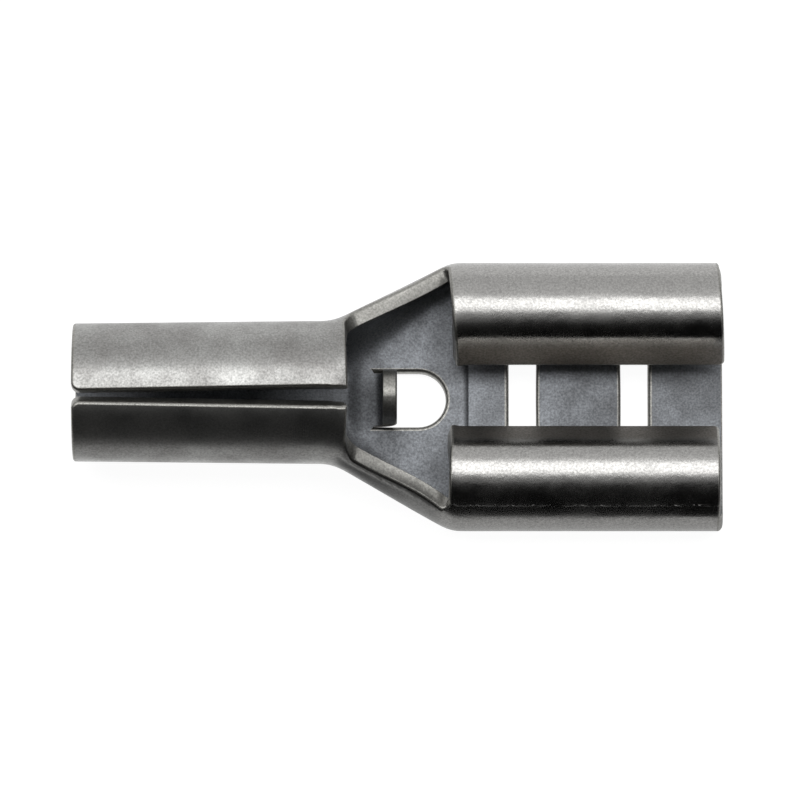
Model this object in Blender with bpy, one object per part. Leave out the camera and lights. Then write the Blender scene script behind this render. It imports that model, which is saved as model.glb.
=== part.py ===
"""Female spade terminal, stamped and folded from one strip of tin-plated brass.

The terminal is made the way the real one is. A flat blank gets its outline, its window and
its slots. Then every point of the blank is carried to its folded place: x is its station
along the terminal, s its distance round the section from the middle of the floor, and the
depth its place through the stock. The tongue is lanced from the window and bent up.

Units are metres. X runs from the wire end to the tab mouth, +Z is up, and the terminal
rests on its floor and on the bottom of its barrel at z = 0.
"""

import math

import bmesh
import bpy
from mathutils import Vector

MM = 0.001

# Stock and the tab that the receptacle is made for
STOCK = 0.42 * MM
TAB_WIDTH = 6.35 * MM
TAB_THICKNESS = 0.8 * MM
TAB_SIDE_ROOM = 0.325 * MM  # between each edge of the tab and its rail
TAB_GRIP = 0.1 * MM  # how far the lips reach into the tab's thickness before it is pushed in

# Lengths along the terminal
BARREL_LENGTH = 7.9 * MM
NECK_LENGTH = 2.99 * MM
RAIL_LENGTH = 7.83 * MM
MOUTH_LEAD = 0.13 * MM  # the floor reaches this far past the rails
RAIL_SKEW = 0.16 * MM  # the lip of the +Y rail sits this far forward of its foot

# Crimp barrel
BARREL_RADIUS = 2.0 * MM  # outside
BARREL_SPREAD = 0.08 * MM  # how much wider each side is at the neck than at the wire end
SEAM_REAR_GAP = 0.12 * MM
SEAM_FRONT_GAP = 0.4 * MM
SEAM_SHIFT = -0.3 * MM  # the seam's place across the barrel
BARREL_REAR_CORNER = 0.25 * MM
BARREL_FRONT_CORNER = 0.23 * MM

# Neck between barrel and receptacle
SPLAY_BEFORE_NECK = 0.32 * MM  # the barrel starts to open this far before its front end
SPLAY_PAST_NECK = 0.09 * MM
SPLAY_REAR_BLEND = 0.84 * MM
SPLAY_FRONT_BLEND = 0.5 * MM
FLATTENING_START = 0.92 * MM  # before the neck, where the round section starts to flatten
LOW_WALL_REAR = 2.5 * MM  # height of the neck's +Y side wall at the barrel
LOW_WALL_FRONT = 1.6 * MM  # and at the receptacle
HIGH_WALL_REAR = 2.9 * MM  # the same on the -Y side, where the wall leans further in
HIGH_WALL_FRONT = 2.02 * MM
NOTCH_REAR_RADIUS = 0.4 * MM
NOTCH_FRONT_RADIUS = 0.22 * MM
NOTCH_REACH = 1.5  # radii along the wall that the rounding of a notch takes

# Rails of the receptacle, outside radii
FOOT_RADIUS = 1.02 * MM
CROWN_RADIUS = 1.52 * MM
CROWN_ANGLE = math.radians(107)
SHOULDER_RADIUS = 0.9 * MM
SHOULDER_ANGLE = math.radians(37)
LIP_LENGTH = 1.07 * MM
LIP_CORNER = 0.12 * MM
MOUTH_CORNER = 0.12 * MM
MOUTH_RUN_OUT = 0.5 * MM  # how far round the foot the floor's lead fades out

# Window in the neck's floor, and the tongue lanced from it
WINDOW_WIDTH = 1.6 * MM
WINDOW_LENGTH = 2.0 * MM  # from the tongue's bend to the round nose
WINDOW_TO_RAIL = 0.095 * MM  # from the nose to the rails' rear end
TONGUE_BEND_RADIUS = 0.16 * MM  # inside
TONGUE_SIDE_CLEARANCE = 0.03 * MM
TONGUE_THINNING = 0.02 * MM  # what the lancing takes off each face
TONGUE_ROOT = 0.3 * MM  # how far the tongue's root runs back into the floor

# Receptacle floor
STEP_FROM_RAIL = 0.36 * MM
STEP_LENGTH = 0.14 * MM
STEP_HEIGHT = 0.1 * MM
RISE_LENGTH = 0.5 * MM  # over which the neck's floor comes up from the barrel's bottom
SLOT_WIDTH = 0.8 * MM  # along the terminal
SLOT_END_ROOM = 0.4 * MM  # from each end of a slot to the bend of the rail's foot
SLOT_CORNER = 0.1 * MM
FIRST_SLOT = 1.74 * MM  # from the rails' rear end
SLOT_PITCH = 3.25 * MM
DETENT_HEIGHT = 0.1 * MM  # the middle panel bulges up this far to press on the tab

# Sheared edges and fineness of the folded faces
EDGE_ROLL = 0.1 * MM  # radius that shearing leaves on the outer side of every edge
ROLL_SEGMENTS = 2
ARC_STEP = math.radians(15)  # on rounded corners
BEND_STEP = math.radians(14)  # round the folds
NECK_STEP = 0.21 * MM
ROUND_STEP = 0.3 * MM
NECK_ROUND_STEP = 0.2 * MM
BARREL_EDGE_PIECES = 6
WALL_EDGE_PIECES = 8
STEP_PIECES = 3
PANEL_PIECES = 6
TONGUE_BEND_PIECES = 6
SHARP_CORNER = math.radians(35)

# Exactness of the working out
SLOPE_REACH = 0.002 * MM  # points this far apart give the slope of the folded sheet
SAME_PLACE = 0.0005 * MM
SLIVER = 0.003 * MM  # corners closer than this are merged
HALVINGS = 40

# Stations along X, from the sizes above
OVERALL_LENGTH = BARREL_LENGTH + NECK_LENGTH + RAIL_LENGTH + max(MOUTH_LEAD, RAIL_SKEW)
X_REAR = -OVERALL_LENGTH / 2
X_NECK = X_REAR + BARREL_LENGTH
X_RAIL = X_NECK + NECK_LENGTH
X_RAIL_FRONT = X_RAIL + RAIL_LENGTH
X_MOUTH = X_RAIL_FRONT + MOUTH_LEAD
X_WINDOW_NOSE = X_RAIL - WINDOW_TO_RAIL
X_TONGUE_BEND = X_WINDOW_NOSE - WINDOW_LENGTH
X_STEP = X_RAIL + STEP_FROM_RAIL
X_FIRST_SLOT = X_RAIL + FIRST_SLOT
X_SECOND_SLOT = X_FIRST_SLOT + SLOT_PITCH
X_TAPER = X_NECK - FLATTENING_START
X_PANEL = X_FIRST_SLOT + SLOT_WIDTH

# Sizes on the middle of the stock
MID = STOCK / 2
BARREL_MID = BARREL_RADIUS - MID
FOOT_MID = FOOT_RADIUS - MID
CROWN_MID = CROWN_RADIUS - MID
SHOULDER_MID = SHOULDER_RADIUS - MID
RAIL_HALF = TAB_WIDTH / 2 + TAB_SIDE_ROOM + MID
LIP_TURN = CROWN_ANGLE + SHOULDER_ANGLE - math.pi / 2
QUARTER = math.pi / 2
FLOOR_HALF = RAIL_HALF - FOOT_MID
SLOT_HALF = FLOOR_HALF - SLOT_END_ROOM


def clamp(value):
    """Keeps a share between 0 and 1."""
    return min(max(value, 0.0), 1.0)


def ease(x, start, end):
    """Goes smoothly from 0 at start to 1 at end."""
    share = clamp((x - start) / (end - start))
    return share * share * (3 - 2 * share)


def mix(a, b, share):
    """The value that lies this share of the way from a to b."""
    return a + (b - a) * share


def spread(start, end, pieces):
    """The ends of this many equal pieces between start and end."""
    return [mix(start, end, index / pieces) for index in range(pieces + 1)]


def soft_corner(x, blend):
    """max(x, 0) with the corner at 0 rounded over the length blend."""
    if abs(x) >= blend / 2:
        return max(x, 0.0)
    return (x + blend / 2) ** 2 / (2 * blend)


def rail_riser():
    """Upright run between foot and crown that brings the lips down onto the tab."""
    crown_drop = CROWN_MID * (1 - math.cos(CROWN_ANGLE - QUARTER))
    before = CROWN_ANGLE - QUARTER
    shoulder_drop = SHOULDER_MID * (math.cos(before) - math.cos(LIP_TURN))
    lip_drop = LIP_LENGTH * math.sin(LIP_TURN)
    middle_of_edge = STOCK + TAB_THICKNESS - TAB_GRIP + MID * math.cos(LIP_TURN)
    crown_top = middle_of_edge + lip_drop + shoulder_drop + crown_drop
    return max(crown_top - MID - FOOT_MID - CROWN_MID, 0.0)


RISER = rail_riser()
FOOT_END = FLOOR_HALF + FOOT_MID * QUARTER
LIP_EDGE = FOOT_END + RISER + CROWN_MID * CROWN_ANGLE + SHOULDER_MID * SHOULDER_ANGLE + LIP_LENGTH


def half_width(x):
    """Half the width of the terminal at station x, on the middle of the stock."""
    barrel = BARREL_MID + BARREL_SPREAD * clamp((x - X_REAR) / BARREL_LENGTH)
    start = X_NECK - SPLAY_BEFORE_NECK
    end = X_RAIL + SPLAY_PAST_NECK
    slope = (RAIL_HALF - BARREL_MID - BARREL_SPREAD) / (end - start)
    opened = soft_corner(x - start, SPLAY_REAR_BLEND) - soft_corner(x - end, SPLAY_FRONT_BLEND)
    return barrel + slope * opened


def section(x):
    """The folds at station x, outwards from the middle: a list of (length, radius) runs.

    The round of the barrel goes over smoothly into the foot, riser, crown and shoulder of the
    rails. A radius of None is a straight run. The last run has no end of its own: the edge of
    the blank ends it.
    """
    to_rail = ease(x, X_TAPER, X_RAIL)
    foot = mix(BARREL_MID, FOOT_MID, to_rail)
    crown = mix(BARREL_MID, CROWN_MID, to_rail)
    return [
        (half_width(x) - foot, None),
        (foot * QUARTER, foot),
        (RISER * to_rail, None),
        (crown * mix(math.pi, CROWN_ANGLE, to_rail), crown),
        (SHOULDER_MID * SHOULDER_ANGLE * to_rail, SHOULDER_MID),
        (math.inf, None),
    ]


def walk(runs, distance):
    """The place reached in the section after this distance along the runs."""
    y = 0.0
    z = MID
    heading = 0.0
    for length, radius in runs:
        step = min(length, distance)
        if radius is None:
            y += step * math.cos(heading)
            z += step * math.sin(heading)
        else:
            turned = heading + step / radius
            y += radius * (math.sin(turned) - math.sin(heading))
            z += radius * (math.cos(heading) - math.cos(turned))
            heading = turned
        distance -= step
        if distance <= 0:
            break
    return y, z


def floor_lift(x, s):
    """How far the floor stands above its level: the neck's floor and the detent panel."""
    flat, foot = section(x)[:2]
    neck = 1 - ease(abs(s), flat[0], flat[0] + foot[0])
    neck *= ease(x, X_TONGUE_BEND - TONGUE_ROOT - RISE_LENGTH, X_TONGUE_BEND - TONGUE_ROOT)
    neck *= 1 - ease(x, X_STEP, X_STEP + STEP_LENGTH)
    along = clamp((x - X_PANEL) / (X_SECOND_SLOT - X_PANEL))
    detent = 4 * along * (1 - along) * (1 - ease(abs(s), 0.0, SLOT_HALF))
    return STEP_HEIGHT * neck + DETENT_HEIGHT * detent


def middle_point(x, s):
    """Where the point (x, s) of the blank lies once folded, on the middle of the stock."""
    side = 1.0 if s >= 0 else -1.0
    y, z = walk(section(x), abs(s))
    skew = 0.0
    if side > 0:
        skew = RAIL_SKEW * ease(s, FOOT_END, LIP_EDGE) * ease(x, X_NECK, X_RAIL)
    return Vector((x + skew, side * y, z + floor_lift(x, s)))


def folded(x, s, height):
    """Where a point of the blank goes, height being measured from the middle inwards."""
    along = middle_point(x + SLOPE_REACH, s) - middle_point(x - SLOPE_REACH, s)
    round_it = middle_point(x, s + SLOPE_REACH) - middle_point(x, s - SLOPE_REACH)
    inwards = along.cross(round_it).normalized()
    return middle_point(x, s) + inwards * height


def edge_at_height(x, top):
    """Distance round the section at which a side wall of the neck reaches a height."""
    runs = section(x)
    low = runs[0][0] + runs[1][0]
    high = low + top
    for _ in range(HALVINGS):
        middle = (low + high) / 2
        _, z = walk(runs, middle)
        if z < top:
            low = middle
        else:
            high = middle
    return low


def wall_edge(x, side):
    """Edge of the blank along the neck's side wall."""
    share = (x - X_NECK) / NECK_LENGTH
    if side > 0:
        return edge_at_height(x, mix(LOW_WALL_REAR, LOW_WALL_FRONT, share))
    return edge_at_height(x, mix(HIGH_WALL_REAR, HIGH_WALL_FRONT, share))


def seam_edge(x, side):
    """Edge of the blank along the barrel, where it meets the seam."""
    share = clamp((x - X_REAR) / BARREL_LENGTH)
    gap = mix(SEAM_REAR_GAP, SEAM_FRONT_GAP, share)
    target = gap / 2 + side * SEAM_SHIFT
    flat, foot, riser, crown = section(x)[:4]
    centre = half_width(x) - crown[1]
    turned = math.acos((target - centre) / crown[1])
    return flat[0] + foot[0] + riser[0] + crown[1] * turned


def rounded(corners):
    """The outline through these (x, s, radius) corners, each one rounded to its radius."""
    points = []
    count = len(corners)
    for index, (x, s, radius) in enumerate(corners):
        corner = Vector((x, s))
        if not radius:
            points.append(corner)
            continue
        before = (Vector(corners[index - 1][:2]) - corner).normalized()
        after = (Vector(corners[(index + 1) % count][:2]) - corner).normalized()
        half = before.angle(after) / 2
        tangent = radius / math.tan(half)
        centre = corner + (before + after).normalized() * (radius / math.sin(half))
        start = corner + before * tangent - centre
        sweep = start.angle_signed(corner + after * tangent - centre)
        steps = max(math.ceil(abs(sweep) / ARC_STEP), 1)
        for step in range(steps + 1):
            angle = -sweep * step / steps
            turned = Vector(
                (
                    start.x * math.cos(angle) - start.y * math.sin(angle),
                    start.x * math.sin(angle) + start.y * math.cos(angle),
                )
            )
            points.append(centre + turned)
    return points


def side_corners(side):
    """Corners of the blank on one side, from the wire end to the mouth."""
    room = BARREL_REAR_CORNER + BARREL_FRONT_CORNER
    corners = [(X_REAR, side * seam_edge(X_REAR, side), BARREL_REAR_CORNER)]
    for x in spread(X_REAR + room, X_NECK - room, BARREL_EDGE_PIECES):
        corners.append((x, side * seam_edge(x, side), 0))
    corners.append((X_NECK, side * seam_edge(X_NECK, side), BARREL_FRONT_CORNER))
    corners.append((X_NECK, side * wall_edge(X_NECK, side), NOTCH_REAR_RADIUS))
    start = X_NECK + NOTCH_REACH * NOTCH_REAR_RADIUS
    end = X_RAIL - NOTCH_REACH * NOTCH_FRONT_RADIUS
    for x in spread(start, end, WALL_EDGE_PIECES):
        corners.append((x, side * wall_edge(x, side), 0))
    corners.append((X_RAIL, side * wall_edge(X_RAIL, side), NOTCH_FRONT_RADIUS))
    corners.append((X_RAIL, side * LIP_EDGE, LIP_CORNER))
    corners.append((X_RAIL_FRONT, side * LIP_EDGE, LIP_CORNER))
    corners.append((X_RAIL_FRONT, side * FOOT_END, MOUTH_CORNER))
    corners.append((X_MOUTH, side * (FOOT_END - MOUTH_RUN_OUT), MOUTH_CORNER))
    return corners


def slab(name, outline, thickness):
    """A flat plate of this outline, lying on both sides of z = 0."""
    mesh = bpy.data.meshes.new(name)
    plate = bmesh.new()
    rim = [plate.verts.new((p.x, p.y, -thickness / 2)) for p in outline]
    face = plate.faces.new(rim)
    raised = bmesh.ops.extrude_face_region(plate, geom=[face])
    lifted = [v for v in raised["geom"] if isinstance(v, bmesh.types.BMVert)]
    bmesh.ops.translate(plate, vec=(0, 0, thickness), verts=lifted)
    bmesh.ops.recalc_face_normals(plate, faces=plate.faces)
    plate.to_mesh(mesh)
    plate.free()
    obj = bpy.data.objects.new(name, mesh)
    bpy.context.scene.collection.objects.link(obj)
    return obj


def window_outline():
    """The round-nosed opening in the neck's floor."""
    half = WINDOW_WIDTH / 2
    middle = X_WINDOW_NOSE - half
    points = [Vector((X_TONGUE_BEND, half)), Vector((X_TONGUE_BEND, -half))]
    steps = math.ceil(math.pi / ARC_STEP)
    for step in range(steps + 1):
        angle = -QUARTER + math.pi * step / steps
        points.append(Vector((middle + half * math.cos(angle), half * math.sin(angle))))
    return points


def slot_outline(start):
    """One slot across the receptacle's floor."""
    end = start + SLOT_WIDTH
    return rounded(
        [
            (start, -SLOT_HALF, SLOT_CORNER),
            (end, -SLOT_HALF, SLOT_CORNER),
            (end, SLOT_HALF, SLOT_CORNER),
            (start, SLOT_HALF, SLOT_CORNER),
        ]
    )


def pierce(blank, name, outline):
    """Cuts an opening through the flat blank."""
    cutter = slab(name, outline, 3 * STOCK)
    cut = blank.modifiers.new(name, "BOOLEAN")
    cut.operation = "DIFFERENCE"
    cut.solver = "EXACT"
    cut.object = cutter
    bpy.context.view_layer.objects.active = blank
    bpy.ops.object.modifier_apply(modifier=cut.name)
    bpy.data.objects.remove(cutter, do_unlink=True)


def roll_edges(plate, keeps_sharp):
    """Rounds the sheared edges of a flat plate on its outer side, z below 0."""
    rims = []
    for edge in plate.edges:
        low = all(v.co.z < 0 for v in edge.verts)
        caps = [abs(f.normal.z) > 0.5 for f in edge.link_faces]
        if low and caps.count(True) == 1 and not keeps_sharp(edge):
            rims.append(edge)
    bmesh.ops.bevel(
        plate,
        geom=rims,
        offset=EDGE_ROLL,
        offset_type="OFFSET",
        segments=ROLL_SEGMENTS,
        profile=0.5,
        affect="EDGES",
    )


def cut_lines(plate, axis, places, low, high):
    """Scores the plate at these places on one axis, between low and high on the other."""
    normal = Vector((1, 0, 0)) if axis == 0 else Vector((0, 1, 0))
    for place in places:
        faces = []
        for face in plate.faces:
            other = face.calc_center_median()[1 - axis]
            if low <= other <= high:
                faces.append(face)
        edges = {edge for face in faces for edge in face.edges}
        verts = {vert for face in faces for vert in face.verts}
        bmesh.ops.bisect_plane(
            plate,
            geom=list(verts) + list(edges) + faces,
            dist=SAME_PLACE,
            plane_co=normal * place,
            plane_no=normal,
        )


def even(start, end, step):
    """Evenly spaced values from start to end, no further apart than step."""
    return spread(start, end, max(math.ceil((end - start) / step), 1))


def rail_lines():
    """Distances round the receptacle's section where its folds need a line."""
    lines = [0.0, WINDOW_WIDTH / 2]
    lines += even(FLOOR_HALF, FOOT_END, FOOT_MID * BEND_STEP)
    done = FOOT_END + RISER
    lines += even(done, done + CROWN_MID * CROWN_ANGLE, CROWN_MID * BEND_STEP)
    done += CROWN_MID * CROWN_ANGLE
    lines += even(done, done + SHOULDER_MID * SHOULDER_ANGLE, SHOULDER_MID * BEND_STEP)
    return lines


def both_sides(lines):
    """These distances on both sides of the middle, each once."""
    return sorted({round(sign * line, 9) for line in lines for sign in (-1, 1)})


def score(plate):
    """Lays the lines into the flat blank along which it can follow its folds."""
    far = 2 * LIP_EDGE
    cut_lines(plate, 0, [X_TAPER, X_NECK, X_RAIL], -far, far)
    round_lines = both_sides(even(0.0, BARREL_MID * math.pi, ROUND_STEP))
    cut_lines(plate, 1, round_lines, X_REAR, X_NECK)
    cut_lines(plate, 1, both_sides(rail_lines()), X_RAIL, X_MOUTH)
    neck_lines = both_sides(even(0.0, BARREL_MID * math.pi, NECK_ROUND_STEP))
    cut_lines(plate, 1, neck_lines, X_NECK, X_RAIL)
    cut_lines(plate, 0, even(X_TAPER, X_RAIL, NECK_STEP), -far, far)
    step_lines = spread(X_STEP, X_STEP + STEP_LENGTH, STEP_PIECES)
    cut_lines(plate, 0, step_lines, -FOOT_END, FOOT_END)
    panel_lines = spread(X_PANEL, X_SECOND_SLOT, PANEL_PIECES)
    cut_lines(plate, 0, panel_lines, -FLOOR_HALF, FLOOR_HALF)
    floor_lines = both_sides(spread(0.0, FLOOR_HALF, PANEL_PIECES))
    cut_lines(plate, 1, floor_lines, X_PANEL, X_SECOND_SLOT)


def make_strip():
    """The blank with its window and slots, folded to shape."""
    corners = side_corners(-1) + side_corners(1)[::-1]
    strip = slab("terminal", rounded(corners), STOCK)
    pierce(strip, "window", window_outline())
    pierce(strip, "first_slot", slot_outline(X_FIRST_SLOT))
    pierce(strip, "second_slot", slot_outline(X_SECOND_SLOT))

    def at_tongue(edge):
        near = [abs(v.co.x - X_TONGUE_BEND) < SAME_PLACE for v in edge.verts]
        return all(near) and abs(edge.verts[0].co.y) < WINDOW_WIDTH

    plate = bmesh.new()
    plate.from_mesh(strip.data)
    bmesh.ops.dissolve_limit(
        plate, angle_limit=math.radians(1), verts=plate.verts, edges=plate.edges
    )
    roll_edges(plate, at_tongue)
    score(plate)
    bmesh.ops.remove_doubles(plate, verts=plate.verts, dist=SLIVER)
    bmesh.ops.triangulate(plate, faces=plate.faces)
    for vert in plate.verts:
        vert.co = folded(vert.co.x, vert.co.y, vert.co.z)
    plate.to_mesh(strip.data)
    plate.free()
    return strip


def tongue_point(distance, y, height):
    """Where a point of the tongue goes once it is bent up about its root."""
    floor_middle = MID + STEP_HEIGHT
    radius = TONGUE_BEND_RADIUS + MID
    bend = radius * QUARTER
    turned = clamp(distance / bend) * QUARTER
    x = X_TONGUE_BEND + min(distance, 0.0) + (radius - height) * math.sin(turned)
    z = floor_middle + height + (radius - height) * (1 - math.cos(turned))
    z += max(distance - bend, 0.0)
    return Vector((x, y, z))


def make_tongue():
    """The round-nosed tongue that the wire's end meets, bent up out of the window."""
    half = WINDOW_WIDTH / 2 - TONGUE_SIDE_CLEARANCE
    middle = WINDOW_LENGTH - half
    outline = [Vector((-TONGUE_ROOT, half)), Vector((-TONGUE_ROOT, -half))]
    steps = math.ceil(math.pi / ARC_STEP)
    for step in range(steps + 1):
        angle = -QUARTER + math.pi * step / steps
        outline.append(Vector((middle + half * math.cos(angle), half * math.sin(angle))))
    tongue = slab("tongue", outline, STOCK - 2 * TONGUE_THINNING)
    bend = (TONGUE_BEND_RADIUS + MID) * QUARTER
    plate = bmesh.new()
    plate.from_mesh(tongue.data)
    cut_lines(plate, 0, spread(0.0, bend, TONGUE_BEND_PIECES), -half, half)
    bmesh.ops.triangulate(plate, faces=plate.faces)
    for vert in plate.verts:
        vert.co = tongue_point(vert.co.x, vert.co.y, vert.co.z)
    plate.to_mesh(tongue.data)
    plate.free()
    smooth(tongue)
    tongue.hide_render = True
    tongue.display_type = "WIRE"
    return tongue


def smooth(obj):
    """Shades the folds smooth and keeps the sheared corners crisp."""
    obj.data.shade_smooth()
    obj.data.set_sharp_from_angle(angle=SHARP_CORNER)


def tin_plate():
    """Satin tin plate over brass."""
    material = bpy.data.materials.new("tin_plate")
    material.use_nodes = True
    shader = material.node_tree.nodes["Principled BSDF"]
    shader.inputs["Base Color"].default_value = (0.53, 0.52, 0.5, 1.0)
    shader.inputs["Metallic"].default_value = 1.0
    shader.inputs["Roughness"].default_value = 0.34
    return material


def main():
    """Builds the terminal as one solid."""
    for obj in list(bpy.data.objects):
        bpy.data.objects.remove(obj, do_unlink=True)
    terminal = make_strip()
    tongue = make_tongue()
    join = terminal.modifiers.new("tongue", "BOOLEAN")
    join.operation = "UNION"
    join.solver = "EXACT"
    join.object = tongue
    terminal.data.materials.append(tin_plate())
    smooth(terminal)


main()
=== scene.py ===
"""Dresses a female spade terminal: one strip of tin-plated brass, punched, lanced and folded.

The strip is made here as it is on the real press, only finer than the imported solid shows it.
A block of strip is punched to its blank, the tongue is slit free, the slots are pierced, every
sheared edge gets its rolled and its burred corner, and the blank is scored with fold lines and
folded. Places on the flat blank are given as x, the station along the terminal, s, the distance
round the section from the middle of the floor, and h, the height inwards from the middle of the
stock.
"""

import logging
import math
from collections.abc import Callable
from dataclasses import dataclass, field
from enum import Enum

import bmesh
import bpy
import numpy as np
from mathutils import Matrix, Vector


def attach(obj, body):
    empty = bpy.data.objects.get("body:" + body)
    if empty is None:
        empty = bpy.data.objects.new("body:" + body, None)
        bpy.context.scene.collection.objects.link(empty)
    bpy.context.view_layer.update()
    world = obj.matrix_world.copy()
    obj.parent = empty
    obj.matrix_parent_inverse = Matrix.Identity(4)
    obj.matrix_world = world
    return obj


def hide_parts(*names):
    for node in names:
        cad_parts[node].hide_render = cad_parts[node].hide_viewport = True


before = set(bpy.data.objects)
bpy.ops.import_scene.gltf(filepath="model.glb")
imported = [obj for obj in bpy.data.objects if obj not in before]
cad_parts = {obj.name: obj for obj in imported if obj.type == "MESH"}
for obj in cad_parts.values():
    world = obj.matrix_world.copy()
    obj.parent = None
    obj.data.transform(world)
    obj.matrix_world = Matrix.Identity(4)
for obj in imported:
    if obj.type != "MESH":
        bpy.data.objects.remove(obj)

MM = 0.001
QUARTER = math.pi / 2  # a quarter turn
TINY = 1e-9  # keeps a length above nothing where something is divided by it
HALVINGS = 40  # more than enough to close in on a distance
NUMBER_A, NUMBER_B = 2, 3  # the inputs of a Mix node that take two numbers
COLOUR_A, COLOUR_B, COLOUR_OUT = 6, 7, 2  # its inputs for two colours, and the output for one
LOG = logging.getLogger("spade_terminal")

Numbers = float | np.ndarray
Tree = bpy.types.NodeTree
Socket = bpy.types.NodeSocket


class Side(Enum):
    """The two sides of the terminal, by the sign of their Y."""

    LEFT = 1.0
    RIGHT = -1.0


def clamp(value: Numbers) -> Numbers:
    """Keeps shares between 0 and 1."""
    return np.clip(value, 0.0, 1.0)


def smooth(share: Numbers) -> Numbers:
    """Eases shares between 0 and 1 in and out."""
    return share * share * (3 - 2 * share)


def ease(x: Numbers, start: Numbers, end: Numbers) -> Numbers:
    """Goes smoothly from 0 at start to 1 at end."""
    return smooth(clamp((x - start) / (end - start)))


def mix(a: Numbers, b: Numbers, share: Numbers) -> Numbers:
    """The value that lies this share of the way from a to b."""
    return a + (b - a) * share


def spread(start: float, end: float, step: float) -> list[float]:
    """Evenly spaced values from start to end, no further apart than step.

    Args:
        start: The first value.
        end: The last value.
        step: The widest spacing.

    Returns:
        The values, both ends among them.
    """
    pieces = max(math.ceil(abs(end - start) / step), 1)
    return [start + (end - start) * index / pieces for index in range(pieces + 1)]


def linear(hex_colour: str) -> tuple[float, float, float, float]:
    """Turns an sRGB hex colour into the linear colour that a shader takes.

    The numbers in the formula are those of the sRGB standard.

    Args:
        hex_colour: The colour as six hex digits after a hash.

    Returns:
        Red, green, blue and alpha.
    """
    channels = []
    for place in (1, 3, 5):
        value = int(hex_colour[place : place + 2], 16) / 255
        if value <= 0.04045:
            channels.append(value / 12.92)
        else:
            channels.append(((value + 0.055) / 1.055) ** 2.4)
    return (*channels, 1.0)


@dataclass(frozen=True)
class Seam:
    """The open seam along the top of the barrel."""

    rear_gap: float = 0.12 * MM
    front_gap: float = 0.4 * MM
    shift: float = -0.3 * MM
    flat_lip: float = 0.36 * MM  # the left edge stayed straight this far when the barrel was rolled


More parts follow.
